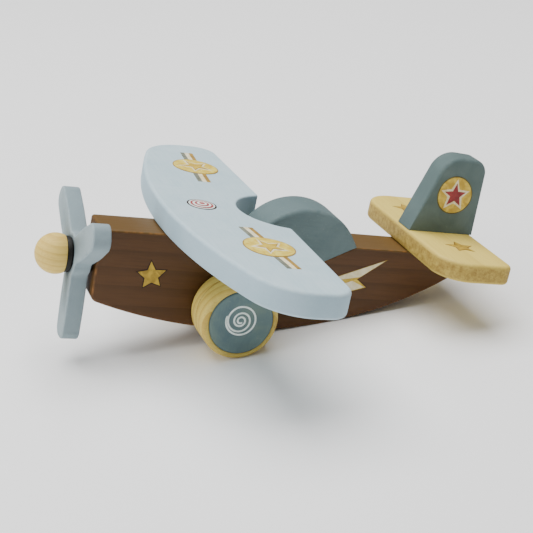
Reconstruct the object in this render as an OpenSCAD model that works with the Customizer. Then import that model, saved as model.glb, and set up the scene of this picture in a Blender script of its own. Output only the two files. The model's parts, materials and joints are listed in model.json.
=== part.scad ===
// Wooden push-along aeroplane.
// A bandsawn hull carries a flat board wing, a round-topped canopy, a tailplane and a fin.
// The propeller turns on a pin glued into the nose, behind a ball that keeps it on.
// Two wheels are glued to one axle, which turns in a bore through the hull.
// The nose points to -X and the plane's left side is -Y. It stands as it does on a table,
// on its wheels and the curve of its belly, with the table at z = 0 and the origin under
// the middle of its length.

/* [Hull] */
// Width of the hull
hull_w = 27; // [22:0.5:34]
// Depth of the hull from its flat top to the lowest point of the belly curve
hull_depth = 57.3; // [47.5:0.1:69]
// Distance from the axle forward to the nose face
nose_reach = 83; // [68:0.5:99]
// Distance from the axle back to the tail end
tail_reach = 153; // [127:0.5:184]
// Height of the hull's tail end
tail_end_h = 9.2; // [6:0.1:12]
// Distance from the axle back to the lowest point of the belly curve
belly_low = 6; // [0:0.5:16]
// Radius of the belly curve ahead of that point
belly_front_r = 288; // [240:1:340]
// Radius of the corner between the nose face and the belly
nose_corner_r = 5; // [3:0.5:9]

/* [Wing] */
// Wingspan from tip to tip
wing_span = 259; // [210:1:312]
// Chord of the wing at its middle
wing_chord = 70.5; // [60:0.5:85]
// Thickness of the wing board
board_t = 14.5; // [11:0.5:18]
// Distance from the axle back to the straight trailing edge
wing_rear = 23.5; // [18:0.5:30]
// Radius of the curved leading edge
leading_r = 310; // [245:1:350]
// Radius of the rounded front corner of each wing tip
tip_front_r = 32; // [24:0.5:38]
// Radius of the rear corner of each wing tip
tip_rear_r = 14; // [8:0.5:16]
// Width of the cockpit notch in the trailing edge
notch_w = 58; // [48:0.5:66]
// Depth of the cockpit notch
notch_depth = 22.7; // [18:0.1:27]

/* [Canopy] */
// Length of the canopy along the top of the hull
canopy_l = 67.5; // [58:0.5:85]
// Height of the canopy above the top of the hull
canopy_h = 21.7; // [18:0.1:26]
// Distance from the bottom of the wing's notch back to the front of the canopy
canopy_back = 7.2; // [5:0.1:10]
// Slope of the two faces of the seat that the canopy is glued into, in degrees
seat_slope = 28; // [20:0.5:32]

/* [Tail] */
// Span of the tailplane
tail_span = 127; // [104:1:152]
// Chord of the tailplane
tail_chord = 45.5; // [38:0.5:54]
// Thickness of the tailplane board
tail_t = 12; // [9:0.5:15]
// Radius of the front corners of the tailplane
tail_front_r = 20; // [14:0.5:22]
// Radius of the rear corners of the tailplane
tail_rear_r = 6; // [3:0.5:9]
// Distance that the tailplane stands out behind the hull
tail_overhang = 2; // [0:0.5:6]
// Height of the fin above the tailplane
fin_h = 49; // [41:0.5:59]
// Length of the fin along its foot
fin_l = 44.5; // [37:0.5:52]
// Thickness of the fin
fin_t = 16; // [12:0.5:19]
// Lean of the fin's front edge from upright, in degrees
fin_lean = 17.5; // [10:0.5:22]
// Radius of the fin's front top corner
fin_front_r = 15; // [10:0.5:18]
// Radius of the fin's rear top corner
fin_rear_r = 9; // [5:0.5:12]
// Distance that the fin's top edge falls towards the rear
fin_top_fall = 1.5; // [0:0.1:4]
// Distance that the fin's rear edge leans forward
fin_rear_lean = 0.4; // [0:0.1:3]

/* [Propeller] */
// Radius that the blade tips sweep
prop_r = 50.5; // [43:0.5:61]
// Thickness of the propeller board
prop_t = 10.2; // [8:0.1:13]
// Radius of the round hub in the middle
hub_r = 12.5; // [10.5:0.5:15]
// Width of a blade where it leaves the hub
blade_root_w = 14; // [11:0.5:16]
// Greatest width of a blade
blade_w = 18; // [15:0.5:22]
// Distance from the middle of the hub to the widest part of a blade
blade_widest = 28; // [22:0.5:33]
// Width of a blade at its tip, before the corners are rounded
blade_tip_w = 15; // [12:0.5:18]
// Radius of the blade tip corners
blade_corner_r = 6.5; // [3:0.5:7]
// Angle of the first blade above the left-right line, in degrees
blade_turn = 27; // [0:1:119]
// Depth of the propeller's axis below the top of the hull
prop_drop = 20.8; // [17:0.1:25]

/* [Nose] */
// Radius of the ball on the nose
knob_r = 11.8; // [10:0.1:14]
// Distance from the ball's centre back to the flat sawn on it
knob_flat = 4.6; // [1:0.1:6]
// Thickness of the dark spacer between the ball and the propeller
spacer_t = 3.5; // [2.5:0.1:6]
// Radius of the dark spacer
spacer_r = 10.4; // [8:0.1:11]
// Thickness of the washer between the propeller and the nose
washer_t = 1.9; // [1.5:0.1:4]
// Radius of that washer
washer_r = 9; // [7:0.5:12]

/* [Wheels] */
// Radius of a wheel
wheel_r = 23.3; // [19:0.1:27.9]
// Width of a wheel
wheel_w = 24.8; // [20:0.1:30]
// Depth of the axle below the top of the hull
axle_drop = 41.5; // [35:0.5:46]
// Gap between the hull and each wheel
wheel_gap = 1.1; // [0.5:0.1:3]
// Radius of the rounded shoulders of the tread
shoulder_r = 3; // [1:0.1:5]
// Share of the wheel's width between its inner face and the turned groove
groove_at = 0.44; // [0.3:0.01:0.6]
// Depth of the turned groove
groove_depth = 0.9; // [0.4:0.1:1.5]
// Width of the bare rim around the painted disc
rim_w = 3.8; // [3.1:0.1:6]
// Thickness of the painted disc
disc_t = 4; // [3:0.1:6]
// Height that the painted disc stands proud of the wheel's face
disc_proud = 0.7; // [0.2:0.1:1.5]

/* [Pins and fits] */
// Radius of the axle
axle_r = 4; // [3:0.1:5]
// Radius of the nose pin
pin_r = 4; // [3:0.1:5]
// Radial clearance of the axle in the hull and of the propeller on its pin
running = 0.08; // [0.01:0.01:0.1]
// Gap beside the propeller, to the spacer and to the washer
side_gap = 0.3; // [0.2:0.1:1]
// Depth of the nose pin in the hull
pin_in_hull = 24; // [16:1:34]
// Depth of the nose pin in the ball
pin_in_knob = 9; // [6:0.5:12]
// Radius of the glued dowels
dowel_r = 3; // [2:0.1:3.5]
// Distance from a dowel's middle to the edge of the board that it holds
dowel_margin = 12; // [8:0.5:13]
// Depth of a dowel in the hull
dowel_in_hull = 9; // [6:0.5:11]
// Wood left below the dowels at the hull's tail end
dowel_skin = 0.8; // [0.5:0.1:2]
// Depth of a dowel in the wing
dowel_in_wing = 9.5; // [6:0.5:10]
// Depth of a dowel in the canopy and in the fin
dowel_in_block = 15; // [8:0.5:18]

/* [Hidden] */
$fn = 96;
over = 1;
arc_steps = 28;
corner_steps = 8;
corner_share = 0.49;

slate = "#5f7072";
sky = "#c0c9cc";
stain = "#4f3020";
pine = "#dccb94";
soot = "#24231f";

// The pieces are placed in the hull's own frame: x = 0 at the axle, z = 0 at the hull's top.
nose_x = -nose_reach;
tail_x = tail_reach;
belly_rise = hull_depth - tail_end_h;
belly_r = (pow(tail_x - belly_low, 2) + pow(belly_rise, 2)) / (2 * belly_rise);
belly_z = belly_r - hull_depth;
belly_front_z = belly_front_r - hull_depth;
corner_x = nose_x + nose_corner_r;
corner_z = belly_front_z
    - sqrt(pow(belly_front_r - nose_corner_r, 2) - pow(corner_x - belly_low, 2));
axle_z = -axle_drop;

wing_front = wing_rear - wing_chord;
leading_x = wing_front + leading_r;
tip_y = wing_span / 2 - tip_front_r;
tip_x = leading_x - sqrt(pow(leading_r - tip_front_r, 2) - pow(tip_y, 2));
tip_angle = atan2(tip_y, leading_x - tip_x);
tip_rear = min(tip_rear_r, wing_rear - tip_x);
notch_r = (pow(notch_w / 2, 2) + pow(notch_depth, 2)) / (2 * notch_depth);
notch_x = wing_rear - notch_depth + notch_r;
notch_front = wing_rear - notch_depth;

canopy_r = (pow(canopy_l / 2, 2) + pow(canopy_h, 2)) / (2 * canopy_h);
canopy_front = notch_front + canopy_back;
canopy_x = canopy_front + canopy_l / 2;
canopy_z = canopy_h - canopy_r;
canopy_rear = canopy_front + canopy_l;
seat_depth = canopy_l / 2 * tan(seat_slope);

tail_rear = tail_x + tail_overhang;
tail_front = tail_rear - tail_chord;
fin_front = tail_rear - fin_l;

prop_z = -prop_drop;
washer_x = nose_x - washer_t;
prop_back = washer_x - side_gap;
prop_front = prop_back - prop_t;
spacer_back = prop_front - side_gap;
knob_back = spacer_back - spacer_t;
knob_x = knob_back - knob_flat;

disc_r = wheel_r - rim_w;
wheel_in = hull_w / 2 + wheel_gap;
wheel_out = wheel_in + wheel_w;
disc_in = wheel_out + disc_proud - disc_t;

// The plane tips back until a level line touches both the wheels and the belly curve.
rest_span = norm([belly_low, belly_z - axle_z]);
pitch = acos((belly_r - wheel_r) / rest_span) - atan2(belly_low, belly_z - axle_z);
rise = wheel_r + axle_drop * cos(pitch);
rear_most = max([for (q = fin_outline()) q.x * cos(pitch) + q.y * sin(pitch)]);
front_most = knob_x * cos(pitch) + prop_z * sin(pitch) - knob_r;
mid_x = (front_most + rear_most) / 2;

// Places a piece from the hull's frame on the table.
module at_rest() {
    translate([-mid_x, 0, rise])
        rotate([0, pitch, 0])
            children();
}

// Points along an arc about a centre, from one angle to another. The first point is left
// out where the arc carries on from another one.
function arc(centre, r, from, to, steps, first = 0) =
    [for (i = [first : steps])
        let (a = from + (to - from) * i / steps)
        centre + r * [cos(a), sin(a)]];

// The arc that rounds the corner b between its neighbours a and c. Its radius is r, or as
// much of it as fits in corner_share of the shorter side.
function corner(a, b, c, r) =
    let (u = (a - b) / norm(a - b),
         v = (c - b) / norm(c - b),
         half = acos(u * v) / 2,
         fit = min(r, corner_share * min(norm(a - b), norm(c - b)) * tan(half)),
         centre = b + (u + v) / norm(u + v) * fit / sin(half),
         s = b + u * fit / tan(half) - centre,
         turn = sign(u.x * v.y - u.y * v.x) * (180 - 2 * half))
    arc(centre, fit, atan2(s.y, s.x), atan2(s.y, s.x) - turn, corner_steps);

// An outline with a radius at each corner, or a sharp corner where the radius is 0.
function rounded(points, radii) =
    let (n = len(points))
    [for (i = [0 : n - 1])
        each radii[i] > 0
            ? corner(points[(i + n - 1) % n], points[i], points[(i + 1) % n], radii[i])
            : [points[i]]];

function mirrored(points) = [for (i = [len(points) - 1 : -1 : 0]) [points[i].x, -points[i].y]];

// Side view of the hull: a flat top, a small round corner under the nose, and a belly of
// two curves that meet at its lowest point.
function hull_outline() =
    let (start = atan2(corner_z - belly_front_z, corner_x - belly_low),
         end = atan2(-tail_end_h - belly_z, tail_x - belly_low))
    concat([[tail_x, 0], [nose_x, 0]],
           arc([corner_x, corner_z], nose_corner_r, -180, start, corner_steps),
           arc([belly_low, belly_front_z], belly_front_r, start, -90, arc_steps, 1),
           arc([belly_low, belly_z], belly_r, -90, end, arc_steps, 1));

// One half of the wing seen from above, from the nose side round the tip to the notch.
function half_wing() =
    concat(arc([leading_x, 0], leading_r, 180, 180 - tip_angle, arc_steps),
           arc([tip_x, tip_y], tip_front_r, 180 - tip_angle, 90, corner_steps * 2, 1),
           arc([wing_rear - tip_rear, wing_span / 2 - tip_rear], tip_rear, 90, 0, corner_steps, 1));

// The canopy seen from the side: a round top on two sloping faces that meet at a ridge.
function canopy_outline() =
    let (half = acos(-canopy_z / canopy_r))
    concat([for (i = [0 : arc_steps])
               let (a = -half + 2 * half * i / arc_steps)
               [canopy_x + canopy_r * sin(a), canopy_z + canopy_r * cos(a)]],
           [[canopy_x, -seat_depth]]);

// The fin seen from the side.
function fin_outline() =
    rounded([[fin_front, tail_t],
             [fin_front + fin_h * tan(fin_lean), tail_t + fin_h],
             [tail_rear - fin_rear_lean, tail_t + fin_h - fin_top_fall],
             [tail_rear, tail_t]],
            [0, fin_front_r, fin_rear_r, 0]);

// One blade along +X, from the middle of the hub to its tip.
function blade_outline() =
    rounded([[0, -blade_root_w / 2], [blade_widest, -blade_w / 2],
             [prop_r, -blade_tip_w / 2], [prop_r, blade_tip_w / 2],
             [blade_widest, blade_w / 2], [0, blade_root_w / 2]],
            [0, prop_r, blade_corner_r, blade_corner_r, prop_r, 0]);

// A board standing upright along X, cut to a side-view outline.
module upright_board(outline, thickness) {
    rotate([90, 0, 0])
        linear_extrude(thickness, center = true)
            polygon(outline);
}

// A rod along Z, from one height to another.
module rod_z(x, r, low, high) {
    translate([x, 0, low])
        cylinder(r = r, h = high - low);
}

// A rod along the propeller's axis, from its front end to its rear end.
module rod_x(r, front, back) {
    translate([front, 0, prop_z])
        rotate([0, 90, 0])
            cylinder(r = r, h = back - front);
}

// A rod along the axle, from one side to the other.
module rod_y(r, from, to) {
    translate([0, from, axle_z])
        rotate([-90, 0, 0])
            cylinder(r = r, h = to - from);
}

// Two dowels join the wing to the hull, one joins the canopy, two hold the tail together.
wing_dowel_at = [wing_front + dowel_margin, notch_front - dowel_margin];
tail_dowel_at = [fin_front + dowel_in_block * tan(fin_lean) + dowel_margin,
                 tail_rear - dowel_margin];
tail_dowel_in_hull = min(dowel_in_hull, tail_end_h - dowel_skin);

module wing_dowel_set() {
    for (x = wing_dowel_at)
        rod_z(x, dowel_r, -dowel_in_hull, dowel_in_wing);
}

module canopy_dowel_set() {
    rod_z(canopy_x, dowel_r, -seat_depth - dowel_in_hull, -seat_depth + dowel_in_block);
}

module tail_dowel_set() {
    for (x = tail_dowel_at)
        rod_z(x, dowel_r, -tail_dowel_in_hull, tail_t + dowel_in_block);
}

module fuselage() {
    color(stain)
        at_rest()
            difference() {
                upright_board(hull_outline(), hull_w);
                upright_board([[canopy_rear, 0], [canopy_rear, over], [canopy_front, over],
                               [canopy_front, 0], [canopy_x, -seat_depth]], hull_w + over);
                wing_dowel_set();
                canopy_dowel_set();
                tail_dowel_set();
                rod_x(pin_r, nose_x - over, nose_x + pin_in_hull);
                rod_y(axle_r + running, -hull_w, hull_w);
            }
}

module wing() {
    color(sky)
        at_rest()
            difference() {
                linear_extrude(board_t)
                    polygon(concat(half_wing(), mirrored(half_wing())));
                rod_z(notch_x, notch_r, -over, board_t + over);
                wing_dowel_set();
            }
}

module wing_dowels() {
    color(pine)
        at_rest()
            wing_dowel_set();
}

module canopy() {
    color(slate)
        at_rest()
            difference() {
                upright_board(canopy_outline(), hull_w);
                canopy_dowel_set();
            }
}

module canopy_dowel() {
    color(pine)
        at_rest()
            canopy_dowel_set();
}

module tailplane() {
    half = [[tail_front, tail_span / 2], [tail_rear, tail_span / 2]];
    color(pine)
        at_rest()
            difference() {
                linear_extrude(tail_t)
                    polygon(rounded(concat(half, mirrored(half)),
                                    [tail_front_r, tail_rear_r, tail_rear_r, tail_front_r]));
                tail_dowel_set();
            }
}

module fin() {
    color(slate)
        at_rest()
            difference() {
                upright_board(fin_outline(), fin_t);
                tail_dowel_set();
            }
}

module tail_dowels() {
    color(pine)
        at_rest()
            tail_dowel_set();
}

module nose_pin() {
    color(pine)
        at_rest()
            rod_x(pin_r, knob_back - pin_in_knob, nose_x + pin_in_hull);
}

module rear_washer() {
    color(soot)
        at_rest()
            difference() {
                rod_x(washer_r, washer_x, nose_x);
                rod_x(pin_r, washer_x - over, nose_x + over);
            }
}

module propeller() {
    color(sky)
        at_rest()
            difference() {
                translate([prop_front, 0, prop_z])
                    rotate([0, 90, 0])
                        linear_extrude(prop_t) {
                            circle(hub_r);
                            for (k = [0 : 2])
                                rotate(90 + blade_turn + 120 * k)
                                    polygon(blade_outline());
                        }
                rod_x(pin_r + running, prop_front - over, prop_back + over);
            }
}

module front_spacer() {
    color(soot)
        at_rest()
            difference() {
                rod_x(spacer_r, knob_back, spacer_back);
                rod_x(pin_r, knob_back - over, spacer_back + over);
            }
}

module nose_knob() {
    color(pine)
        at_rest()
            difference() {
                translate([knob_x, 0, prop_z])
                    sphere(r = knob_r);
                rod_x(knob_r + over, knob_back, knob_back + 2 * knob_r);
                rod_x(pin_r, knob_back - pin_in_knob, knob_back + over);
            }
}

module axle() {
    color(pine)
        at_rest()
            rod_y(axle_r, -disc_in, disc_in);
}

// A wheel on the +Y side: rounded shoulders, a turned groove, a recess for the disc.
module wheel_blank() {
    groove_y = wheel_in + wheel_w * groove_at;
    shape = rounded([[0, wheel_in], [wheel_r, wheel_in], [wheel_r, wheel_out], [0, wheel_out]],
                    [0, shoulder_r, shoulder_r, 0]);
    translate([0, 0, axle_z])
        rotate([-90, 0, 0])
            difference() {
                rotate_extrude()
                    difference() {
                        polygon(shape);
                        polygon([[wheel_r + over, groove_y - groove_depth - over],
                                 [wheel_r - groove_depth, groove_y],
                                 [wheel_r + over, groove_y + groove_depth + over]]);
                    }
                translate([0, 0, disc_in])
                    cylinder(r = disc_r, h = disc_t + over);
                cylinder(r = axle_r, h = wheel_out);
            }
}

module disc_blank() {
    rod_y(disc_r, disc_in, disc_in + disc_t);
}

module wheel_left() {
    color(pine)
        at_rest()
            mirror([0, 1, 0])
                wheel_blank();
}

module wheel_right() {
    color(pine)
        at_rest()
            wheel_blank();
}

module wheel_disc_left() {
    color(slate)
        at_rest()
            mirror([0, 1, 0])
                disc_blank();
}

module wheel_disc_right() {
    color(slate)
        at_rest()
            disc_blank();
}

fuselage();
wing();
wing_dowels();
canopy();
canopy_dowel();
tailplane();
fin();
tail_dowels();
nose_pin();
rear_washer();
propeller();
front_spacer();
nose_knob();
axle();
wheel_left();
wheel_right();
wheel_disc_left();
wheel_disc_right();
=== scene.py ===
"""Finish of a wooden push-along aeroplane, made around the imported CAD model.

Sizes are in millimetres in the hull's own frame: x = 0 at the axle and negative towards the
nose, y = 0 on the centre plane, z = 0 at the flat top of the hull. settled() brings them to
the place where the toy stands on the floor, in metres.
"""

import json

import bmesh
import bpy
import numpy as np
from mathutils import Matrix


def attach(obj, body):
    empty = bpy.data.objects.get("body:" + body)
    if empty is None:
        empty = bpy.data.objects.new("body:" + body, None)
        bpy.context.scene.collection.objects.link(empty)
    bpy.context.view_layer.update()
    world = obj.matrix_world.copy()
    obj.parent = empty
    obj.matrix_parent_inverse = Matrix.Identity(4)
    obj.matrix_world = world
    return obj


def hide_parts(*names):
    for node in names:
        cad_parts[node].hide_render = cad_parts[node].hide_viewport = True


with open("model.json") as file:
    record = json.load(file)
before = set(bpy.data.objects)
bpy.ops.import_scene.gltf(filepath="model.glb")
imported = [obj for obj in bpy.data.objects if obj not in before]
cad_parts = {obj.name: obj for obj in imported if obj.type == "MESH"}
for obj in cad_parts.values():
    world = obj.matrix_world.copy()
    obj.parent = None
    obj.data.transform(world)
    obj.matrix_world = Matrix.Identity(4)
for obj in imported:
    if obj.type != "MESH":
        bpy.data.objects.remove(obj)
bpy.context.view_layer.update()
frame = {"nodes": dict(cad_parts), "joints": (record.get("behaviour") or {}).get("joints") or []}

MM = 0.001
ROUND = 2 * np.pi
MERGE = 2e-6  # points closer than this, in metres, become one
FLAT_RING = 1.12  # how far in the flat's first ring lies, as a share of the sanded edge

# ---------------------------------------------------------------- where the hull stands

joints = {j["name"]: j for j in frame["joints"]}
spin_axis = joints["propeller_spin"]["axis"]
axle_at = np.array(joints["wheel_roll"]["pos_m"])
lean_cos, lean_sin = -spin_axis[0], spin_axis[2]
LEAN = np.arctan2(lean_sin, lean_cos)
# Turns a direction along the hull into one in the room.
TO_ROW = np.array([[lean_cos, 0, lean_sin], [0, 1, 0], [-lean_sin, 0, lean_cos]])


def about_axle(node):
    """Lowest and highest corner of a CAD node, in mm about the axle and along the hull."""
    mesh = frame["nodes"][node].data
    flat = np.empty(3 * len(mesh.vertices), np.float32)
    mesh.vertices.foreach_get("co", flat)
    local = (flat.reshape(-1, 3) - axle_at) @ TO_ROW / MM
    return local.min(0), local.max(0)


AXLE_DROP = about_axle("fuselage")[1][2]


def extent(node):
    """The same corners in the hull's frame, with z measured from the top of the hull."""
    low, high = about_axle(node)
    return low - [0, 0, AXLE_DROP], high - [0, 0, AXLE_DROP]


def settled(points):
    """Turns points from the hull's frame by its lean about the axle, and gives metres."""
    return axle_at + (points + [0, 0, AXLE_DROP]) @ TO_ROW.T * MM


# ---------------------------------------------------------------- outlines


def arcs(*pieces):
    """Joins arcs into one outline. Each is (centre a, centre b, radius, from, to, steps), with
    angles in degrees: point = centre + radius * (cos angle, sin angle)."""
    made = []
    for a, b, radius, start, end, steps in pieces:
        turn = np.radians(np.linspace(start, end, steps + 1))
        made.append(np.stack([a + radius * np.cos(turn), b + radius * np.sin(turn)], 1))
    return np.concatenate(made)


def softened(corners, radii, steps):
    """Rounds every corner of a closed outline. The arc's centre lies on the corner's bisector
    at radius / sin(half the corner's angle), and the arc runs between the two sides."""
    p, r = np.asarray(corners, float), np.asarray(radii, float)[:, None]
    back, ahead = np.roll(p, 1, 0) - p, np.roll(p, -1, 0) - p
    back /= np.linalg.norm(back, axis=1, keepdims=True)
    ahead /= np.linalg.norm(ahead, axis=1, keepdims=True)
    half = np.arccos(np.clip((back * ahead).sum(1), -1, 1))[:, None] / 2
    bisector = (back + ahead) / np.linalg.norm(back + ahead, axis=1, keepdims=True)
    centre = p + bisector * r / np.sin(half)
    first = p + back * r / np.tan(half) - centre
    side = np.sign(back[:, :1] * ahead[:, 1:] - back[:, 1:] * ahead[:, :1])
    turn = np.arctan2(first[:, 1:], first[:, :1])
    turn = turn - side * (np.pi - 2 * half) * np.linspace(0, 1, steps + 1)
    arc = np.stack([np.cos(turn), np.sin(turn)], 2)
    return (centre[:, None] + r[:, None] * arc).reshape(-1, 2)


def widdershins(outline):
    """The outline in anticlockwise order, whichever way it was drawn, without repeats."""
    step = np.roll(outline, -1, 0) - outline
    outline = outline[np.linalg.norm(step, axis=1) > 1e-4]
    a, b = outline.T
    area = (a * np.roll(b, -1) - np.roll(a, -1) * b).sum()
    return outline if area > 0 else outline[::-1]


def inward(outline):
    """Mitred inward direction at each point: the sum of the two sides' normals, over one
    plus their dot product, so that moving by d draws both sides in by d."""
    side = np.roll(outline, -1, 0) - outline
    side /= np.linalg.norm(side, axis=1, keepdims=True)
    normal = np.stack([-side[:, 1], side[:, 0]], 1)
    before = np.roll(normal, 1, 0)
    return (normal + before) / (1 + (normal * before).sum(1, keepdims=True))


def star(centre, radius, turn, waist, seed):
    """Five-pointed star: ten corners, 36 degrees apart, whose distance from the centre is
    radius at the tips and waist * radius between them, moved a little as by a hand."""
    angle = np.radians(turn + 36 * np.arange(10))
    reach = np.where(np.arange(10) % 2, waist, 1.0) * radius
    points = np.stack([reach * np.cos(angle), reach * np.sin(angle)], 1)
    points += np.random.default_rng(seed).normal(0, 0.03 * radius, (10, 2))
    return np.asarray(centre) + points


def round_daub(centre, radius, seed, wobble=0.012):
    """Hand-painted disc: radius * (1 + wobble * (sin 2t + sin 3t)), each wave with its own
    start."""
    t = np.linspace(0, ROUND, 96, endpoint=False)
    start = np.random.default_rng(seed).uniform(0, ROUND, 2)
    reach = radius * (1 + wobble * (np.sin(2 * t + start[0]) + np.sin(3 * t + start[1])))
    return np.asarray(centre) + np.stack([reach * np.cos(t), reach * np.sin(t)], 1)


# ---------------------------------------------------------------- shells


def lying(a, b, c):
    """Outline in x, y and thickness up z."""
    return np.stack([a, b, c], -1)


def upright(a, b, c):
    """Outline in x, z and thickness across y."""
    return np.stack([a, c, b], -1)


def quads(rows, count, closed_rows=False):
    """Faces of a grid of rows, each row a closed ring of count points."""
    i = np.arange(rows if closed_rows else rows - 1)[:, None]
    j = np.arange(count)[None]
    i2, j2 = (i + 1) % rows, (j + 1) % count
    grid = np.stack([i * count + j, i * count + j2, i2 * count + j2, i2 * count + j], -1)
    return grid.reshape(-1, 4).tolist()


def board(outline, low, high, edge, way, bore=0.0, steps=7):
    """A sawn board with sanded edges. Ring k is the outline drawn inwards by
    edge * (1 - sin s) at a depth of edge * (1 - cos s) below the face, s from 0 to 90
    degrees, with one more ring just inside on the flat. A bore closes the faces on a circle
    whose points lie at the same angles as the outline's; without one they close flat."""
    outline = widdershins(outline)
    count = len(outline)
    edge = np.broadcast_to(np.asarray(edge, float), count)
    s = np.radians(np.linspace(0, 90, steps))
    inset = np.concatenate([[FLAT_RING], 1 - np.sin(s)])
    depth = np.concatenate([[0.0], 1 - np.cos(s)])
    wear = np.stack([np.sin(2 * s), np.sin(s) ** 2], 1)
    wear = np.concatenate([[[0.0, 0.0]], wear, wear[::-1], [[0.0, 0.0]]])
    inset = np.concatenate([inset, inset[::-1]])[:, None] * edge
    level = np.concatenate([high - depth[:, None] * edge, low + depth[::-1, None] * edge])
    wear = np.repeat(wear, count, 0)
    drawn = outline[None] + inward(outline)[None] * inset[..., None]
    a, b = drawn[..., 0], drawn[..., 1]
    rows = len(level)
    if bore:
        angle = np.arctan2(outline[:, 1], outline[:, 0])
        ring = np.stack([bore * np.cos(angle), bore * np.sin(angle)])
        a = np.concatenate([ring[:1], a, ring[:1]])
        b = np.concatenate([ring[1:], b, ring[1:]])
        level = np.concatenate([np.full((1, count), high), level, np.full((1, count), low)])
        plain = np.zeros((count, 2))
        wear = np.concatenate([plain, wear, plain])
        return way(a, b, level).reshape(-1, 3), quads(rows + 2, count, True), wear
    faces = quads(rows, count)
    faces += [list(range(count)), list(range((rows - 1) * count, rows * count))]
    return way(a, b, level).reshape(-1, 3), faces, wear


def turned(profile, centre, axis, around=128, sawn=None):
    """A turned shell. Each (radius, distance along the axis) of the profile is carried round
    the axis: across = radius * cos t and radius * sin t. A profile that starts and ends on
    the axis closes itself; one that stays off it is taken as a closed loop. sawn gives the
    share of the darker colour at each point of the profile: the cut groove and shoulder of a
    wheel, and the painted shadow round a disc's lip."""
    radius, along = np.asarray(profile, float).T
    t = np.linspace(0, ROUND, around, endpoint=False)
    u, v = radius[:, None] * np.cos(t), radius[:, None] * np.sin(t)
    w = np.broadcast_to(along[:, None], u.shape)
    points = np.stack([w, u, v] if axis == 0 else [u, w, v], -1) + np.asarray(centre)
    faces = quads(len(radius), around, closed_rows=radius.min() > 0)
    sawn = np.zeros(len(radius)) if sawn is None else sawn
    wear = np.repeat(np.stack([np.zeros(len(radius)), sawn], 1), around, 0)
    return points.reshape(-1, 3), faces, wear


def stroke(path, width, height, way, base):
    """A raised brush stroke: the profile (width / 2 * cos s, height * sin s), s from 0 to
    180 degrees, is carried along the path on its own normals. Both ends narrow to a point
    as the square root of the distance from them."""
    path = np.asarray(path, float)
    step = np.gradient(path, axis=0)
    gone = np.concatenate([[0], np.cumsum(np.linalg.norm(np.diff(path, axis=0), axis=1))])
    side = np.stack([-step[:, 1], step[:, 0]], 1) / np.linalg.norm(step, axis=1)[:, None]
    ends = np.minimum(gone, gone[-1] - gone) / (0.5 * width)
    full = np.sqrt(np.clip(ends, 0.02, 1))[:, None]
    s = np.radians(np.linspace(0, 180, 9))
    across, up = width / 2 * np.cos(s) * full, height * np.sin(s) * full
    place = path[:, None] + side[:, None] * across[..., None]
    level = base + np.sign(base) * up
    points = way(place[..., 0], place[..., 1], level).reshape(-1, 3)
    count, rows = len(s), len(path)
    faces = quads(rows, count)
    faces += [list(range(count)), list(range((rows - 1) * count, rows * count))]
    return points, faces, np.zeros((len(points), 2))


def flipped(shell):
    """The same shell on the other side of the hull's centre plane."""
    points, faces, wear = shell
    return points * [1, -1, 1], faces, wear


def piece(name, body, shells, node=None):
    """Makes one object from shells, each with its own finish, on one body of the toy. Points
    that fall together are merged, and faces are turned to look outwards."""
    points, faces, wears, finishes, index = [], [], [], [], []
    for shell, finish in shells:
        start = sum(len(p) for p in points)
        points.append(settled(shell[0]))
        faces += [[start + i for i in face] for face in shell[1]]
        wears.append(shell[2])
        if finish not in finishes:
            finishes.append(finish)
        index += [finishes.index(finish)] * len(shell[1])
    mesh = bpy.data.meshes.new(name)
    mesh.from_pydata(np.concatenate(points), [], faces)
    # sawn carries the share of the sawn edge colour in wood, and of painted shade in chalk
    # paint.
    for name_of, column in (("rim", 0), ("sawn", 1)):
        value = np.concatenate(wears)[:, column].astype(np.float32)
        mesh.attributes.new(name_of, "FLOAT", "POINT").data.foreach_set("value", value)
    mesh.polygons.foreach_set("material_index", index)
    form = bmesh.new()
    form.from_mesh(mesh)
    bmesh.ops.remove_doubles(form, verts=form.verts, dist=MERGE)
    bmesh.ops.recalc_face_normals(form, faces=form.faces)
    form.to_mesh(mesh)
    form.free()
    mesh.shade_smooth()
    for finish in finishes:
        mesh.materials.append(finish)
    made = bpy.data.objects.new(name, mesh)
    bpy.context.scene.collection.objects.link(made)
    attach(made, body)
    if node:
        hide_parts(node)


# ---------------------------------------------------------------- finishes


def linear(code):
    """An sRGB hex colour as linear light."""
    channel = np.array([int(code[i : i + 2], 16) / 255 for i in (1, 3, 5)])
    low, high = channel / 12.92, ((channel + 0.055) / 1.055) ** 2.4
    return (*np.where(channel <= 0.04045, low, high).tolist(), 1.0)


def add(tree, kind, links=None, stops=None, **settings):
    """Adds a node, sets what it is, and fills its inputs with values or with links."""
    made = tree.nodes.new("ShaderNode" + kind)
    for key, value in settings.items():
        setattr(made, key, value)
    if stops:
        ramp = made.color_ramp.elements
        for i, (at, code) in enumerate(stops):
            stop = ramp[i] if i < 2 else ramp.new(at)
            stop.position, stop.color = at, linear(code)
    for key, value in (links or {}).items():
        if isinstance(value, bpy.types.NodeSocket):
            tree.links.new(value, made.inputs[key])
        else:
            made.inputs[key].default_value = value
    return made.outputs


def started(name):
    """An empty material, and coordinates in mm along the hull, from the axle up."""
    finish = bpy.data.materials.new(name)
    finish.use_nodes = True
    tree = finish.node_tree
    tree.nodes.clear()
    place = add(tree, "TexCoord")["Object"]
    home = -(axle_at @ TO_ROW) / MM
    hull = add(tree, "Mapping", {"Vector": place, "Location": home.tolist(),
                                 "Rotation": (0, -LEAN, 0), "Scale": (1 / MM,) * 3})
    return finish, tree, hull["Vector"]


# Raw wood and chalk paint are porous and throw back little light at a glance.
GRAZE = 0.25
# Depth in mm of each finish's bump: open grain, bristle ridges, brush daubs, fibre mottle.
GRAIN_DEPTH, BRISTLE_DEPTH, DAUB_DEPTH, MOTTLE_DEPTH = 0.04, 0.06, 0.05, 0.04
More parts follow.
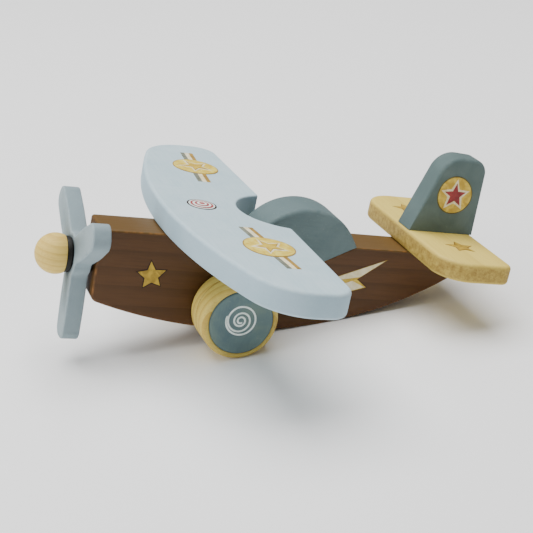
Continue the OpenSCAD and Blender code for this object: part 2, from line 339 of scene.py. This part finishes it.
# Painted highlight on the hull's top: the crown colour, lighter than the stain, comes in between
# these depths in mm.
TOP_HIGHLIGHT_FROM, TOP_HIGHLIGHT_FULL, TOP_HIGHLIGHT_SHARE = 1.2, 0.1, 0.75


def shaded(tree, bump, depth, **inputs):
    """Ends a material: a principled shader whose bump is depth mm deep."""
    normal = add(tree, "Bump", {"Height": bump, "Strength": 1.0, "Distance": depth * MM})
    links = {"Specular IOR Level": GRAZE}
    links.update({key.replace("_", " "): value for key, value in inputs.items()})
    shader = add(tree, "BsdfPrincipled", {**links, "Normal": normal["Normal"]})
    add(tree, "OutputMaterial", {"Surface": shader["BSDF"]})


# Draws a pattern out twenty times along the grain or the brush's stroke.
STRETCH = {"X": (0.05, 1, 1), "Y": (1, 0.05, 1), "Z": (1, 1, 0.05)}


def wood(name, grain, pith, early, late, fibre, edge, rub, ring, crown=None,
         roughness=0.6, flecks=0.5):
    """Sawn and sanded softwood: growth rings about a pith line that runs along the grain,
    pale early wood that darkens to a thin line of late wood, and short darker fibres. The
    rings give the eye long bands on the faces and arches on the ends. Sawn edges take the
    edge colour, with darker flecks where the blade tore the grain, corners rubbed by hands
    take the rub colour, and crown is a painted highlight: a lighter colour on the last
    millimetre below the top of the hull, where light falls on its top."""
    finish, tree, hull = started(name)
    long = add(tree, "Mapping", {"Vector": hull, "Location": pith,
                                 "Scale": STRETCH[grain]})["Vector"]
    rings = add(tree, "TexWave", {"Vector": long, "Scale": ROUND / 20 / ring,
                                  "Distortion": 5.0, "Detail": 2.0, "Detail Scale": 0.12,
                                  "Detail Roughness": 0.4},
                wave_type="RINGS", rings_direction=grain, wave_profile="SAW")["Fac"]
    lines = add(tree, "ValToRGB", {"Fac": rings},
                stops=[(0.0, early), (1.0, late), (0.5, early)])["Color"]
    thin = add(tree, "TexNoise", {"Vector": long, "Scale": 0.9, "Detail": 4.0,
                                  "Roughness": 0.65})["Fac"]
    thread = add(tree, "MapRange", {"Value": thin, "From Min": 0.45, "From Max": 0.7,
                                    "To Max": 0.35})["Result"]
    colour = add(tree, "MixRGB", {"Fac": thread, "Color1": lines,
                                  "Color2": linear(fibre)})["Color"]
    # crown is a painted highlight: the top of the hull made lighter where light falls on it.
    if crown:
        height = add(tree, "SeparateXYZ", {"Vector": hull})["Z"]
        painted_top_highlight = add(tree, "MapRange", {"Value": height,
                                        "From Min": AXLE_DROP - TOP_HIGHLIGHT_FROM,
                                        "From Max": AXLE_DROP - TOP_HIGHLIGHT_FULL,
                                        "To Max": TOP_HIGHLIGHT_SHARE})["Result"]
        colour = add(tree, "MixRGB", {"Fac": painted_top_highlight, "Color1": colour,
                                      "Color2": linear(crown)})["Color"]
    torn = add(tree, "TexNoise", {"Vector": hull, "Scale": 0.3, "Detail": 6.0,
                                  "Roughness": 0.75})["Fac"]
    torn = add(tree, "MapRange", {"Value": torn, "From Min": 0.4, "From Max": 0.66,
                                  "To Min": 0.45, "To Max": 0.45 + flecks})["Result"]
    sawn = add(tree, "Attribute", attribute_name="sawn")["Fac"]
    cut = add(tree, "Math", {0: sawn, 1: torn}, operation="MULTIPLY")["Value"]
    colour = add(tree, "MixRGB", {"Fac": cut, "Color1": colour,
                                  "Color2": linear(edge)})["Color"]
    colour = add(tree, "MixRGB", {"Fac": rubbing(tree, hull), "Color1": colour,
                                  "Color2": linear(rub)})["Color"]
    rough = add(tree, "MapRange", {"Value": thin, "To Min": roughness - 0.08,
                                   "To Max": roughness + 0.08})["Result"]
    shaded(tree, thin, GRAIN_DEPTH, Base_Color=colour, Roughness=rough)
    return finish


def rubbing(tree, hull, most=0.6):
    """Share of a rubbed corner: the rim attribute, patchy over a few millimetres."""
    rim = add(tree, "Attribute", attribute_name="rim")["Fac"]
    rubbed = add(tree, "TexNoise", {"Vector": hull, "Scale": 0.3, "Detail": 5.0})["Fac"]
    patchy = add(tree, "MapRange", {"Value": rubbed, "From Min": 0.42, "From Max": 0.66,
                                    "To Max": most})["Result"]
    return add(tree, "Math", {0: rim, 1: patchy}, operation="MULTIPLY")["Value"]


def chalk_paint(name, strokes, base, light, dark, worn, painted_wall_shade, patch=0.5, scuffs=0.3):
    """Matt chalk paint brushed on sanded wood: broad patches where it went on thick or thin,
    fine ridges left by the bristles along the stroke, paler rubbed corners and a few thin
    scuffs. The walls of a board take painted shade: they are mixed towards a darker colour
    that stands in for the shade on the sides. The eye sees a soft, slightly streaky coat
    that catches no sharp highlight."""
    finish, tree, hull = started(name)
    along = add(tree, "Mapping", {"Vector": hull, "Scale": STRETCH[strokes]})["Vector"]
    broad = add(tree, "TexNoise", {"Vector": hull, "Scale": 0.055, "Detail": 5.0,
                                   "Roughness": 0.6, "Distortion": 0.6})["Fac"]
    bristle = add(tree, "TexNoise", {"Vector": along, "Scale": 0.75, "Detail": 4.0,
                                     "Roughness": 0.65})["Fac"]
    blend = add(tree, "Mix", {"Factor": patch, "A": bristle, "B": broad},
                data_type="FLOAT")["Result"]
    coat = add(tree, "ValToRGB", {"Fac": blend},
               stops=[(0.3, dark), (0.7, light), (0.5, base)])["Color"]
    scratch = add(tree, "TexNoise", {"Vector": hull, "Scale": 0.16, "Detail": 6.0,
                                     "Roughness": 0.6, "Distortion": 3.5})["Fac"]
    scuff = add(tree, "MapRange", {"Value": scratch, "From Min": 0.62, "From Max": 0.72,
                                   "To Max": scuffs})["Result"]
    # Painted shade: the walls of a board are mixed towards a darker colour that stands in for
    # the shade on the sides.
    sawn = add(tree, "Attribute", attribute_name="sawn")["Fac"]
    wall_shade_share = add(tree, "MapRange", {"Value": sawn, "To Max": 0.5})["Result"]
    coat = add(tree, "MixRGB", {"Fac": wall_shade_share, "Color1": coat,
                                "Color2": linear(painted_wall_shade)})["Color"]
    wear = add(tree, "Math", {0: rubbing(tree, hull, 0.35), 1: scuff},
               operation="MAXIMUM")["Value"]
    colour = add(tree, "MixRGB", {"Fac": wear, "Color1": coat,
                                  "Color2": linear(worn)})["Color"]
    rough = add(tree, "MapRange", {"Value": bristle, "To Min": 0.62,
                                   "To Max": 0.82})["Result"]
    shaded(tree, bristle, BRISTLE_DEPTH, Base_Color=colour, Roughness=rough)
    return finish


def hand_paint(name, thick, thin):
    """Craft paint laid on with a small brush: a little darker where it is thin. It gives the
    marks their uneven, hand-done colour."""
    finish, tree, hull = started(name)
    daubs = add(tree, "TexNoise", {"Vector": hull, "Scale": 0.22, "Detail": 4.0,
                                   "Distortion": 0.8})["Fac"]
    colour = add(tree, "ValToRGB", {"Fac": daubs},
                 stops=[(0.38, thin), (0.62, thick)])["Color"]
    shaded(tree, daubs, DAUB_DEPTH, Base_Color=colour, Roughness=0.5)
    return finish


def fibre_board(name, base, fleck):
    """Black vulcanised fibre, punched into rings: nearly black, with a faint grey mottle."""
    finish, tree, hull = started(name)
    speckle = add(tree, "TexNoise", {"Vector": hull, "Scale": 1.4, "Detail": 4.0})["Fac"]
    colour = add(tree, "ValToRGB", {"Fac": speckle},
                 stops=[(0.4, base), (0.75, fleck)])["Color"]
    shaded(tree, speckle, MOTTLE_DEPTH, Base_Color=colour, Roughness=0.55)
    return finish


# The last colour of each chalk paint is painted shade: on the walls of its boards, and as a
# painted shadow line round a wheel disc's lip.
SKY = ("#b9d0d8", "#c2d7de", "#adc7d1", "#c6d6da", "#8fa9b8")
MILL = ("#93a3a7", "#9fadb1", "#86969c", "#acb8ba", "#7d8f96")
SLATE = ("#667879", "#6e8080", "#5c6f71", "#7f8e8c", "#586b6d")
PINE = ("#e0c868", "#c9a64c", "#bd984a", "#80602a", "#dfc468")

sky_wing = chalk_paint("sky_chalk_paint_wing", "Y", *SKY)
sky_blade = chalk_paint("sky_chalk_paint_propeller", "Z", *MILL, patch=0.7)
slate_canopy = chalk_paint("slate_chalk_paint_canopy", "X", *SLATE, patch=0.75, scuffs=0.5)
slate_fin = chalk_paint("slate_chalk_paint_fin", "Z", "#5b6c6b", "#647573", "#526463",
                        "#74837f", "#566867", patch=0.85)
# The disc's last colour is a dark painted shadow line round its rounded lip.
slate_disc = chalk_paint("slate_chalk_paint_disc", "Z", "#687c7a", "#7a8a7c", "#586c73",
                         "#84928d", "#2c3a3a", patch=0.8)
# The crown colour here is a painted highlight on the lit top of the hull.
stain = wood("walnut_stained_wood", "X", (0, 60, 48), "#553719", "#4b3013", "#3d270f",
             "#65461f", "#94602c", crown="#604f28", ring=9.0, roughness=0.45,
             flecks=0.2)
pine_tail = wood("bare_pine_tailplane", "Y", (-100, 0, 60), "#e2ca66", "#d8be5c",
                 "#caa94e", "#8c6c34", "#e2ca66", ring=7.0, flecks=0.5)
pine_knob = wood("bare_pine_ball", "X", (0, 4, 24), "#dcbf68", "#cfae58", "#b8934a",
                 "#a98750", "#dcbf68", ring=3.5)
pine_wheel = wood("bare_pine_wheel", "X", (0, 150, 20), *PINE, ring=6.0, flecks=0.55)
pine_rod = wood("bare_birch_rod", "X", (0, 0, 0), *PINE, ring=2.0)
pine_axle = wood("bare_birch_axle", "Y", (0, 0, 0), *PINE, ring=2.0)
pine_dowel = wood("bare_birch_dowel", "Z", (0, 0, 0), *PINE, ring=2.0)
black = fibre_board("black_vulcanised_fibre", "#131311", "#232119")
gold = hand_paint("gold_hand_paint", "#e0c452", "#bd9b36")
star_gold = hand_paint("star_gold_hand_paint", "#c4a238", "#9a7c2c")
dull_gold = hand_paint("dull_gold_hand_paint", "#9c7a34", "#7a5c28")
straw = hand_paint("straw_hand_paint", "#ead668", "#d4b440")
deep_straw = hand_paint("deep_straw_hand_paint", "#d9bc48", "#c3a038")
cream = hand_paint("cream_hand_paint", "#f2eacc", "#e2d4a4")
tan = hand_paint("tan_hand_paint", "#b08c40", "#947638")
olive = hand_paint("olive_hand_paint", "#858878", "#6a6d5e")
umber = hand_paint("umber_hand_paint", "#35200f", "#28150a")
moss = hand_paint("moss_outline_hand_paint", "#6a6638", "#54512e")
red = hand_paint("red_hand_paint", "#a23e3d", "#7e2c30")
rose = hand_paint("rose_hand_paint", "#b0504f", "#963f42")
white = hand_paint("white_hand_paint", "#f4fbf6", "#e2ece5")

# ---------------------------------------------------------------- hull

hull_low, hull_high = extent("fuselage")
canopy_low, canopy_high = extent("canopy")
NOSE, TAIL = hull_low[0], hull_high[0]
HULL_SIDE = hull_high[1]
HULL_DEPTH = -hull_low[2]
TAIL_END = 9.2
BELLY_LOW = 6.0
BELLY_FRONT_R = 288.0
NOSE_CORNER = 5.0
TOP_R, END_R = 1.8, 2.5
SEAT_EDGE, HULL_EDGE = 0.6, 1.4
SEAT = canopy_low[2]
CANOPY_MID = (canopy_low[0] + canopy_high[0]) / 2

belly_rise = HULL_DEPTH - TAIL_END
belly_r = ((TAIL - BELLY_LOW) ** 2 + belly_rise**2) / (2 * belly_rise)
belly_z = belly_r - HULL_DEPTH
front_z = BELLY_FRONT_R - HULL_DEPTH
nose_c = NOSE + NOSE_CORNER
nose_cz = front_z - np.sqrt((BELLY_FRONT_R - NOSE_CORNER) ** 2 - (nose_c - BELLY_LOW) ** 2)
end_c = TAIL - END_R
end_cz = belly_z - np.sqrt((belly_r - END_R) ** 2 - (end_c - BELLY_LOW) ** 2)
nose_turn = 180 + np.degrees(np.arctan2(front_z - nose_cz, BELLY_LOW - nose_c))
end_turn = np.degrees(np.arctan2(end_cz - belly_z, end_c - BELLY_LOW))
hull_line = widdershins(np.concatenate([
    arcs((nose_c, nose_cz, NOSE_CORNER, 180, nose_turn, 10),
         (BELLY_LOW, front_z, BELLY_FRONT_R, nose_turn, 270, 50),
         (BELLY_LOW, belly_z, belly_r, 270, end_turn + 360, 90),
         (end_c, end_cz, END_R, end_turn, 0, 8),
         (TAIL - TOP_R, -TOP_R, TOP_R, 0, 90, 8)),
    [[canopy_high[0], 0], [CANOPY_MID, SEAT], [canopy_low[0], 0]],
    arcs((NOSE + TOP_R, -TOP_R, TOP_R, 90, 180, 8)),
]))
# The sanded edge narrows along the canopy's seat, so that the two boards meet closely.
from_seat = abs(hull_line[:, 0] - CANOPY_MID) - (canopy_high[0] - CANOPY_MID)
near_seat = np.clip(SEAT_EDGE + 0.4 * from_seat, SEAT_EDGE, HULL_EDGE)
hull_edge = np.where(hull_line[:, 1] > SEAT - 1, near_seat, HULL_EDGE)
piece("hull", "airframe",
      [(board(hull_line, -HULL_SIDE, HULL_SIDE, hull_edge, upright), stain)], "fuselage")

# ---------------------------------------------------------------- wing

wing_low, wing_high = extent("wing")
WING_TOP = wing_high[2]
HALF_SPAN = wing_high[1]
WING_REAR = wing_high[0]
LEADING_R = 310.0
TIP_FRONT, TIP_REAR = 32.0, 14.0
NOTCH_W, NOTCH_DEPTH, NOTCH_SOFT = 58.0, 22.7, 2.4
NOTCH_EDGE, WING_EDGE = 1.2, 2.2

leading_c = wing_low[0] + LEADING_R
tip_y = HALF_SPAN - TIP_FRONT
tip_x = leading_c - np.sqrt((LEADING_R - TIP_FRONT) ** 2 - tip_y**2)
tip_turn = 180 - np.degrees(np.arctan2(tip_y, leading_c - tip_x))
notch_r = ((NOTCH_W / 2) ** 2 + NOTCH_DEPTH**2) / (2 * NOTCH_DEPTH)
notch_c = WING_REAR - NOTCH_DEPTH + notch_r
soft_x = WING_REAR - NOTCH_SOFT
soft_y = np.sqrt((notch_r + NOTCH_SOFT) ** 2 - (soft_x - notch_c) ** 2)
lip = np.degrees(np.arctan2(soft_y, soft_x - notch_c))
half_wing = arcs(
    (leading_c, 0, LEADING_R, 180, tip_turn, 60),
    (tip_x, tip_y, TIP_FRONT, tip_turn, 90, 28),
    (WING_REAR - TIP_REAR, HALF_SPAN - TIP_REAR, TIP_REAR, 90, 0, 14),
    (soft_x, soft_y, NOTCH_SOFT, 0, lip - 180, 8),
    (notch_c, 0, notch_r, lip, 180, 32),
)
wing_line = widdershins(np.concatenate([half_wing, half_wing[::-1] * [1, -1]]))
in_notch = abs(wing_line[:, 1]) < NOTCH_W / 2 + 3
in_notch &= wing_line[:, 0] > WING_REAR - NOTCH_DEPTH - 1
wing_edge = np.where(in_notch, NOTCH_EDGE, WING_EDGE)
piece("wing_board", "airframe",
      [(board(wing_line, wing_low[2], WING_TOP, wing_edge, lying), sky_wing)], "wing")

# ---------------------------------------------------------------- canopy

CANOPY_H = canopy_high[2]
canopy_half = (canopy_high[0] - canopy_low[0]) / 2
canopy_r = (canopy_half**2 + CANOPY_H**2) / (2 * CANOPY_H)
canopy_z = CANOPY_H - canopy_r
crown = np.degrees(np.arccos(-canopy_z / canopy_r))
canopy_line = widdershins(np.concatenate([
    arcs((CANOPY_MID, canopy_z, canopy_r, 90 - crown, 90 + crown, 72)),
    [[CANOPY_MID, SEAT]],
]))
canopy_edge = np.clip(0.4 + 0.5 * canopy_line[:, 1], 0.4, 2.6)
piece("canopy_block", "airframe",
      [(board(canopy_line, -HULL_SIDE, HULL_SIDE, canopy_edge, upright), slate_canopy)],
      "canopy")

# ---------------------------------------------------------------- tail

tail_low, tail_high = extent("tailplane")
TAIL_TOP = tail_high[2]
TAIL_FRONT_R, TAIL_REAR_R, TAIL_EDGE = 20, 6, 2.4
tail_line = softened(
    [[tail_low[0], tail_low[1]], [tail_high[0], tail_low[1]],
     [tail_high[0], tail_high[1]], [tail_low[0], tail_high[1]]],
    [TAIL_FRONT_R, TAIL_REAR_R, TAIL_REAR_R, TAIL_FRONT_R], 14)
piece("tailplane_board", "airframe",
      [(board(tail_line, tail_low[2], TAIL_TOP, TAIL_EDGE, lying), pine_tail)], "tailplane")

fin_low, fin_high = extent("fin")
FIN_SIDE = fin_high[1]
FIN_H, FIN_LEAN = 49.0, np.radians(17.5)
FIN_TOP_FALL, FIN_REAR_LEAN = 1.5, 0.4
FIN_FRONT_R, FIN_REAR_R, FIN_FOOT_R = 15, 9, 0.3
fin_line = widdershins(softened(
    [[fin_low[0], TAIL_TOP],
     [fin_low[0] + FIN_H * np.tan(FIN_LEAN), TAIL_TOP + FIN_H],
     [tail_high[0] - FIN_REAR_LEAN, TAIL_TOP + FIN_H - FIN_TOP_FALL],
     [tail_high[0], TAIL_TOP]],
    [FIN_FOOT_R, FIN_FRONT_R, FIN_REAR_R, FIN_FOOT_R], 18))
fin_edge = np.clip(0.2 + 0.5 * (fin_line[:, 1] - TAIL_TOP), 0.2, 2.4)
piece("fin_board", "airframe",
      [(board(fin_line, -FIN_SIDE, FIN_SIDE, fin_edge, upright), slate_fin)], "fin")

# ---------------------------------------------------------------- propeller and nose

prop_low, prop_high = extent("propeller")
knob_low, knob_high = extent("nose_knob")
spacer_low, spacer_high = extent("front_spacer")
washer_low, washer_high = extent("rear_washer")
SPIN_Z = (spacer_low[2] + spacer_high[2]) / 2
PROP_R, HUB_R, BLADE_TURN, PIN_BORE = 50.5, 12.5, 27, 4.08
# Half of a blade's width where it leaves the hub, at its widest and at its tip.
ROOT, WIDEST, TIP = 7.9, 9.0, 7.5
WIDEST_AT = 0.55 * PROP_R
# Radii that round the blade's outline between blades, at the root, the bulge and the tip.
CROTCH_R, ROOT_R, BULGE_R, TIP_R = 6.0, 4.5, 110.0, 6.5

root_x = np.sqrt(HUB_R**2 - ROOT**2)
shoulder = 60 - np.degrees(np.arcsin(ROOT / HUB_R))
hub_x = HUB_R / np.cos(np.radians(shoulder))
blade = np.array([
    [hub_x * 0.5, -hub_x * np.sqrt(0.75)], [root_x, -ROOT], [WIDEST_AT, -WIDEST],
    [PROP_R, -TIP], [PROP_R, TIP], [WIDEST_AT, WIDEST], [root_x, ROOT],
])
blade_radii = [CROTCH_R, ROOT_R, BULGE_R, TIP_R, TIP_R, BULGE_R, ROOT_R]
swing = np.radians(BLADE_TURN + 120 * np.arange(3))
about = np.stack([np.stack([np.cos(swing), np.sin(swing)], 1),
                  np.stack([-np.sin(swing), np.cos(swing)], 1)], 1)
blades = (blade @ about).reshape(-1, 2)
prop_line = softened(blades, np.tile(blade_radii, 3), 12)


def facing_nose(a, b, c):
    """Outline across the spin axis, with its first direction to the right, thickness
    along it."""
    return np.stack([c, a, b + SPIN_Z], -1)


piece("propeller_board", "propeller",
      [(board(prop_line, prop_low[0], prop_high[0], 1.0, facing_nose, PIN_BORE),
        sky_blade)], "propeller")

KNOB_R, PIN_R = (knob_high[1] - knob_low[1]) / 2, 4.0
knob_x = knob_low[0] + KNOB_R
flat = np.degrees(np.arccos((knob_high[0] - knob_x) / KNOB_R))
bulge = arcs((knob_x, 0, KNOB_R, 180, flat, 60))
knob_profile = np.concatenate([bulge[:, ::-1], [[0, knob_high[0]]]])
piece("nose_ball", "airframe",
      [(turned(knob_profile, (0, 0, SPIN_Z), 0), pine_knob)], "nose_knob")


def ring_profile(inner, outer, near, far, edge):
    """Section of a ring with its corners eased."""
    return softened([[inner, near], [outer, near], [outer, far], [inner, far]],
                    [0.05, edge, edge, 0.05], 5)


piece("front_spacer_ring", "airframe",
      [(turned(ring_profile(PIN_R, spacer_high[1], spacer_low[0], spacer_high[0], 0.9),
               (0, 0, SPIN_Z), 0), black)], "front_spacer")
piece("rear_washer_ring", "airframe",
      [(turned(ring_profile(PIN_R, washer_high[1], washer_low[0], washer_high[0], 0.4),
               (0, 0, SPIN_Z), 0), black)], "rear_washer")

# ---------------------------------------------------------------- wheels

wheel_low, wheel_high = extent("wheel_right")
disc_low, disc_high = extent("wheel_disc_right")
WHEEL_R, DISC_R, AXLE_R = (wheel_high[0] - wheel_low[0]) / 2, disc_high[0], 4.0
AXLE_Z = -AXLE_DROP
GROOVE_AT, GROOVE_DEPTH, SHOULDER_R = 0.44, 0.9, 3.0
AROUND = 160
groove = wheel_low[1] + GROOVE_AT * (wheel_high[1] - wheel_low[1])
wheel_profile = softened(
    [[AXLE_R, wheel_low[1]], [WHEEL_R, wheel_low[1]], [WHEEL_R, groove - GROOVE_DEPTH],
     [WHEEL_R - GROOVE_DEPTH, groove], [WHEEL_R, groove + GROOVE_DEPTH],
     [WHEEL_R, wheel_high[1]], [DISC_R, wheel_high[1]], [DISC_R, disc_low[1]],
     [AXLE_R, disc_low[1]]],
    [0.2, SHOULDER_R, 0.6, 0.4, 0.6, SHOULDER_R, 0.5, 0.05, 0.05], 9)
# The disc stands free of the wheel's rim by DISC_GAP, and DISC_LIP rounds its outer edge.
DISC_GAP, DISC_LIP = 0.05, 1.1
disc_profile = abs(softened(
    [[0, disc_low[1]], [DISC_R - DISC_GAP, disc_low[1]],
     [DISC_R - DISC_GAP, disc_high[1]], [0, disc_high[1]]],
    [0.0001, 0.05, DISC_LIP, 0.0001], 8))
in_groove = np.clip((WHEEL_R - wheel_profile[:, 0]) / 0.5, 0, 1)
in_groove *= abs(wheel_profile[:, 1] - groove) < 1.2
on_rim = 0.35 * np.clip((wheel_profile[:, 1] - wheel_high[1] + 3.4) / 3, 0, 1)
right_wheel = turned(wheel_profile, (0, 0, AXLE_Z), 1, AROUND,
                     np.maximum(in_groove, on_rim))
# Painted shadow: the disc's rounded lip takes its darkest colour, a dark line where the disc
# meets the wheel's rim.
lip_shadow_share = np.clip((disc_profile[:, 0] - DISC_R + DISC_LIP) / 0.8, 0, 1)
right_disc = turned(disc_profile, (0, 0, AXLE_Z), 1, AROUND, lip_shadow_share)

# The brush starts near the middle, winds outwards on a power of its turns, and ends by
# running most of the way round again at one distance, with a slight waver.
SPIRAL_AT = (-0.9, AXLE_Z + 1.5)
SPIRAL_W, SPIRAL_H, SUNK = 1.15, 0.22, 0.03
turns = np.linspace(0.6, 4.05, 400)
reach = np.minimum(1.2 + 0.65 * turns**2.1, 8.85 + 0.18 * np.sin(ROUND * 1.5 * turns))
angle = np.pi - ROUND * turns
spiral_path = np.stack([SPIRAL_AT[0] + reach * np.cos(angle),
                        SPIRAL_AT[1] + reach * np.sin(angle)], 1)
spiral = stroke(spiral_path, SPIRAL_W, SPIRAL_H, upright, disc_high[1] - SUNK)

for side, turn_over in (("right", lambda shell: shell), ("left", flipped)):
    piece(f"wheel_blank_{side}", "wheelset",
          [(turn_over(right_wheel), pine_wheel)], f"wheel_{side}")
    piece(f"wheel_painted_disc_{side}", "wheelset",
          [(turn_over(right_disc), slate_disc)], f"wheel_disc_{side}")
    piece(f"wheel_spiral_{side}", "wheelset",
          [(turn_over(spiral), white)])

# ---------------------------------------------------------------- painted marks

# A coat of paint, how far its underside is sunk in the wood, and how soft its edge is.
COAT, UNDER, COAT_EDGE = 0.14, 0.1, 0.1


def daub(outline, face, layer, way):
    """A flat of paint on a face: each layer stands one coat above the last."""
    out = np.sign(face)
    low, high = face - UNDER * out, face + COAT * layer * out
    return board(outline, min(low, high), max(low, high), COAT_EDGE, way, steps=4)


def band(centre, slope, start, end, near, far):
    """A painted bar's stripe: a strip that runs across the wing from start to end and leans
    back by slope for each mm, from near to far along x."""
    y = np.array([start, end, end, start])
    x = np.array([near, near, far, far]) + slope * y
    return np.asarray(centre) + np.stack([x, y], 1)


HALF_BAR = 31  # from the middle of a wing mark to the end of its bar


def wing_roundel(name, centre, slope, seed):
    """A star on a straw disc, on a bar of three stripes."""
    shells = []
    for near, far, paint in ((-4.3, -1.4, olive), (-1.4, 1.5, cream), (1.5, 4.2, tan)):
        line = softened(band(centre, slope, -HALF_BAR, HALF_BAR, near, far), [0.4] * 4, 3)
        shells.append((daub(line, WING_TOP, 1, lying), paint))
    shells.append((daub(round_daub(centre, 14.9, seed), WING_TOP, 2, lying), tan))
    shells.append((daub(round_daub(centre, 14.2, seed), WING_TOP, 3, lying), straw))
    shells.append((daub(star(centre, 12.0, 182.7, 0.46, seed), WING_TOP, 4, lying), cream))
    shells.append((daub(star(centre, 9.4, 182.7, 0.42, seed), WING_TOP, 5, lying), tan))
    shells.append((daub(star(centre, 8.4, 182.7, 0.43, seed), WING_TOP, 6, lying),
                   deep_straw))
    piece(name, "airframe", shells)


wing_roundel("wing_roundel_left", (-3.5, -64.6), -0.107, 3)
wing_roundel("wing_roundel_right", (-2.7, 78.5), 0.1, 4)

BADGE_AT = (-22.0, 1.5)
badge = [(8.9, umber, 1), (7.9, white, 2), (6.9, rose, 3), (5.6, white, 4), (4.3, rose, 5),
         (3.0, white, 6), (1.7, rose, 7)]
piece("wing_badge_rings", "airframe",
      [(daub(round_daub(BADGE_AT, r, 9, 0.002), WING_TOP, layer, lying), paint)
       for r, paint, layer in badge])

HULL_STAR_AT, FIN_STAR_AT = (-49.7, -25.6), (136.2, 36.8)
BOLT = [[98.0, -6.4], [80.3, -20.3], [87.5, -25.1], [46.0, -39.0], [63.5, -27.0],
        [56.5, -23.6]]
UPPER_BLADE = [[96.8, -7.0], [82.0, -18.6], [58.0, -23.2]]
LOWER_BLADE = [[86.2, -25.0], [77.4, -21.4], [66.0, -26.0], [48.0, -38.2]]
for side, way_out in (("left", -1), ("right", 1)):
    face = way_out * HULL_SIDE
    piece(f"hull_star_{side}", "airframe", [
        (daub(star(HULL_STAR_AT, 10.2, 98, 0.48, 5), face, 1, upright), umber),
        (daub(star(HULL_STAR_AT, 9.0, 98, 0.45, 5), face, 2, upright), star_gold)])
    piece(f"hull_bolt_{side}", "airframe", [
        (daub(np.array(BOLT), face, 1, upright), gold),
        (daub(np.array(UPPER_BLADE), face, 2, upright), cream),
        (daub(np.array(LOWER_BLADE), face, 2, upright), cream)])
    face = way_out * FIN_SIDE
    piece(f"fin_roundel_{side}", "airframe", [
        (daub(round_daub(FIN_STAR_AT, 12.2, 6), face, 1, upright), moss),
        (daub(round_daub(FIN_STAR_AT, 11.4, 6), face, 2, upright), gold),
        (daub(star(FIN_STAR_AT, 10.4, 92, 0.5, 7), face, 3, upright), cream),
        (daub(star(FIN_STAR_AT, 7.8, 92, 0.45, 7), face, 4, upright), red)])

for side, centre in (("left", (134.6, -32.6)), ("right", (131.0, 36.0))):
    piece(f"tailplane_star_{side}", "airframe", [
        (daub(star(centre, 9.6, 90, 0.48, 8), TAIL_TOP, 1, lying), dull_gold),
        (daub(star(centre, 8.4, 90, 0.44, 8), TAIL_TOP, 2, lying), star_gold)])

# ---------------------------------------------------------------- rods that stay as packed

for node, finish in (("wing_dowels", pine_dowel), ("canopy_dowel", pine_dowel),
                     ("tail_dowels", pine_dowel), ("nose_pin", pine_rod),
                     ("axle", pine_axle)):
    rod = frame["nodes"][node].data
    rod.materials.clear()
    rod.materials.append(finish)

# ---------------------------------------------------------------- stage

FLOOR = 8.0  # half of the floor's side, in metres
floor_mesh = bpy.data.meshes.new("floor")
floor_mesh.from_pydata([(-FLOOR, -FLOOR, 0), (FLOOR, -FLOOR, 0), (FLOOR, FLOOR, 0),
                        (-FLOOR, FLOOR, 0)], [], [(0, 1, 2, 3)])
paper = bpy.data.materials.new("white_paper_floor")
paper.use_nodes = True
paper.node_tree.nodes["Principled BSDF"].inputs["Base Color"].default_value = linear("#fafafa")
paper.node_tree.nodes["Principled BSDF"].inputs["Roughness"].default_value = 0.9
floor_mesh.materials.append(paper)
floor = bpy.data.objects.new("floor", floor_mesh)
bpy.context.scene.collection.objects.link(floor)

world = bpy.data.worlds.new("studio")
world.use_nodes = True
world.node_tree.nodes["Background"].inputs["Color"].default_value = linear("#ffffff")
world.node_tree.nodes["Background"].inputs["Strength"].default_value = 0.25
bpy.context.scene.world = world


def softbox(name, place, target, size, watts):
    """A square area light at a place, facing a target."""
    light = bpy.data.lights.new(name, "AREA")
    light.shape, light.size, light.energy = "SQUARE", size, watts
    lamp = bpy.data.objects.new(name, light)
    aim = np.asarray(target, float) - np.asarray(place, float)
    away = -aim / np.linalg.norm(aim)
    right = np.cross([0, 1, 0.001], away)  # tilted a little, so a lamp may point along y
    right /= np.linalg.norm(right)
    up = np.cross(away, right)
    lamp.matrix_world = Matrix(np.vstack([
        np.column_stack([right, up, away, place]), [0, 0, 0, 1]]).tolist())
    bpy.context.scene.collection.objects.link(lamp)


softbox("overhead_softbox", (-0.2, 0.5, 2.6), (0, 0, 0.05), 2.6, 136)
softbox("nose_side_softbox", (-1.3, -0.25, 0.6), (0, 0, 0.06), 0.7, 9)

# ---------------------------------------------------------------- camera

view = bpy.data.cameras.new("camera")
view.sensor_width, view.lens = 36.0, 88.81
view.clip_start, view.clip_end = 0.05, 50
camera = bpy.data.objects.new("camera", view)
CAMERA_AT = [-0.23715, -0.68723, 0.35562]
RIGHT = np.array([0.9426, -0.3330, -0.0232])
AHEAD = np.array([0.2963, 0.8668, -0.4010])
AHEAD /= np.linalg.norm(AHEAD)
RIGHT -= AHEAD * (RIGHT @ AHEAD)
RIGHT /= np.linalg.norm(RIGHT)
camera.matrix_world = Matrix(np.vstack([
    np.column_stack([RIGHT, np.cross(-AHEAD, RIGHT), -AHEAD, CAMERA_AT]),
    [0, 0, 0, 1]]).tolist())
bpy.context.scene.collection.objects.link(camera)
bpy.context.scene.camera = camera
